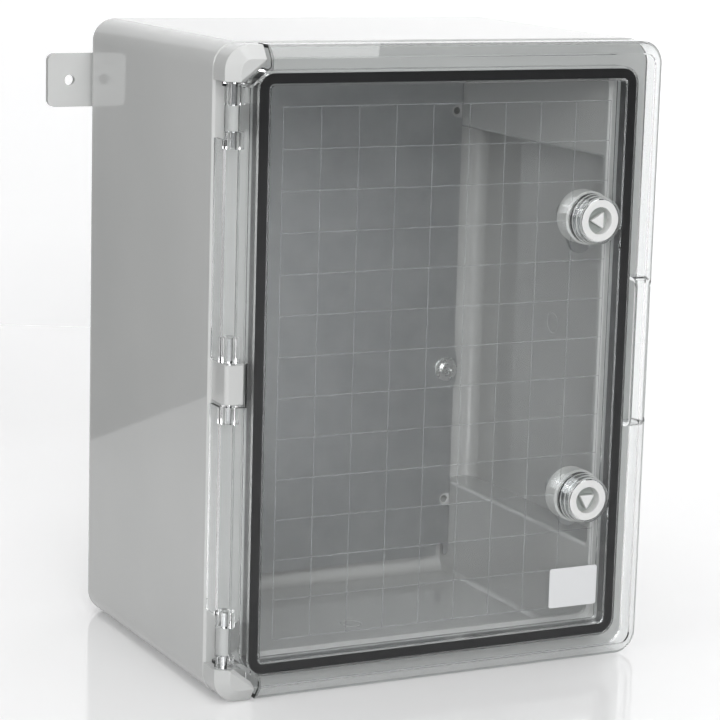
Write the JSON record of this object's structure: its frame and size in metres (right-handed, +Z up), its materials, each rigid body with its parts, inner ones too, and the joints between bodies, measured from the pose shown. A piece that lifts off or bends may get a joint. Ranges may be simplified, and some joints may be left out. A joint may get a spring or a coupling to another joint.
{
  "type": "plastic electrical cabinet",
  "caption": "Wall-mounted grey plastic electrical cabinet with a clear hinged door, rubber seal, triangle-key quarter-turn locks and a metal mounting plate inside.",
  "frame": {"origin": "on the floor under the middle of the cabinet, door closed", "axes": "+Z up, +X to the side with the locks, -Y out of the door, +Y to the wall"},
  "size_m": [0.354, 0.2454, 0.4],
  "materials": {
    "grey_plastic": "glossy light grey moulding",
    "clear_plastic": "clear polycarbonate",
    "black_rubber": "matt black",
    "white_plastic": "satin off-white",
    "galvanised_sheet": "galvanised",
    "zinc_steel": "zinc plated",
    "pin_steel": "bright drawn steel"
  },
  "bodies": {
    "cabinet": {"tub": "grey_plastic", "upper_hinge_cap": "grey_plastic", "lower_hinge_cap": "grey_plastic", "middle_hinge_block": "grey_plastic", "upper_hinge_pin": "pin_steel", "middle_hinge_pin": "pin_steel", "lower_hinge_pin": "pin_steel", "mounting_plate": "galvanised_sheet", "plate_screws": "zinc_steel", "plate_washers": "zinc_steel", "wall_lug_left": "grey_plastic", "wall_lug_right": "grey_plastic", "wall_lug_screws": "zinc_steel"},
    "door": {"door": "clear_plastic", "door_gasket": "black_rubber", "upper_lock_housing": "white_plastic", "upper_lock_seal": "black_rubber", "upper_lock_nut": "white_plastic", "lower_lock_housing": "white_plastic", "lower_lock_seal": "black_rubber", "lower_lock_nut": "white_plastic"},
    "upper_lock": {"upper_lock_rotor": "white_plastic", "upper_lock_cam": "zinc_steel", "upper_lock_cam_screw": "zinc_steel"},
    "lower_lock": {"lower_lock_rotor": "white_plastic", "lower_lock_cam": "zinc_steel", "lower_lock_cam_screw": "zinc_steel"}
  },
  "joints": [
    {"name": "door_hinge", "type": "hinge", "parent": "cabinet", "child": "door", "pos_m": [-0.1425, -0.10325, 0.2], "axis": [0, 0, -1], "range_deg": [0, 110]},
    {"name": "upper_lock_turn", "type": "hinge", "parent": "door", "child": "upper_lock", "pos_m": [0.099, -0.1, 0.2895], "axis": [0, -1, 0], "range_deg": [-25, 65]},
    {"name": "lower_lock_turn", "type": "hinge", "parent": "door", "child": "lower_lock", "pos_m": [0.099, -0.1, 0.1105], "axis": [0, -1, 0], "range_deg": [-25, 65]}
  ]
}
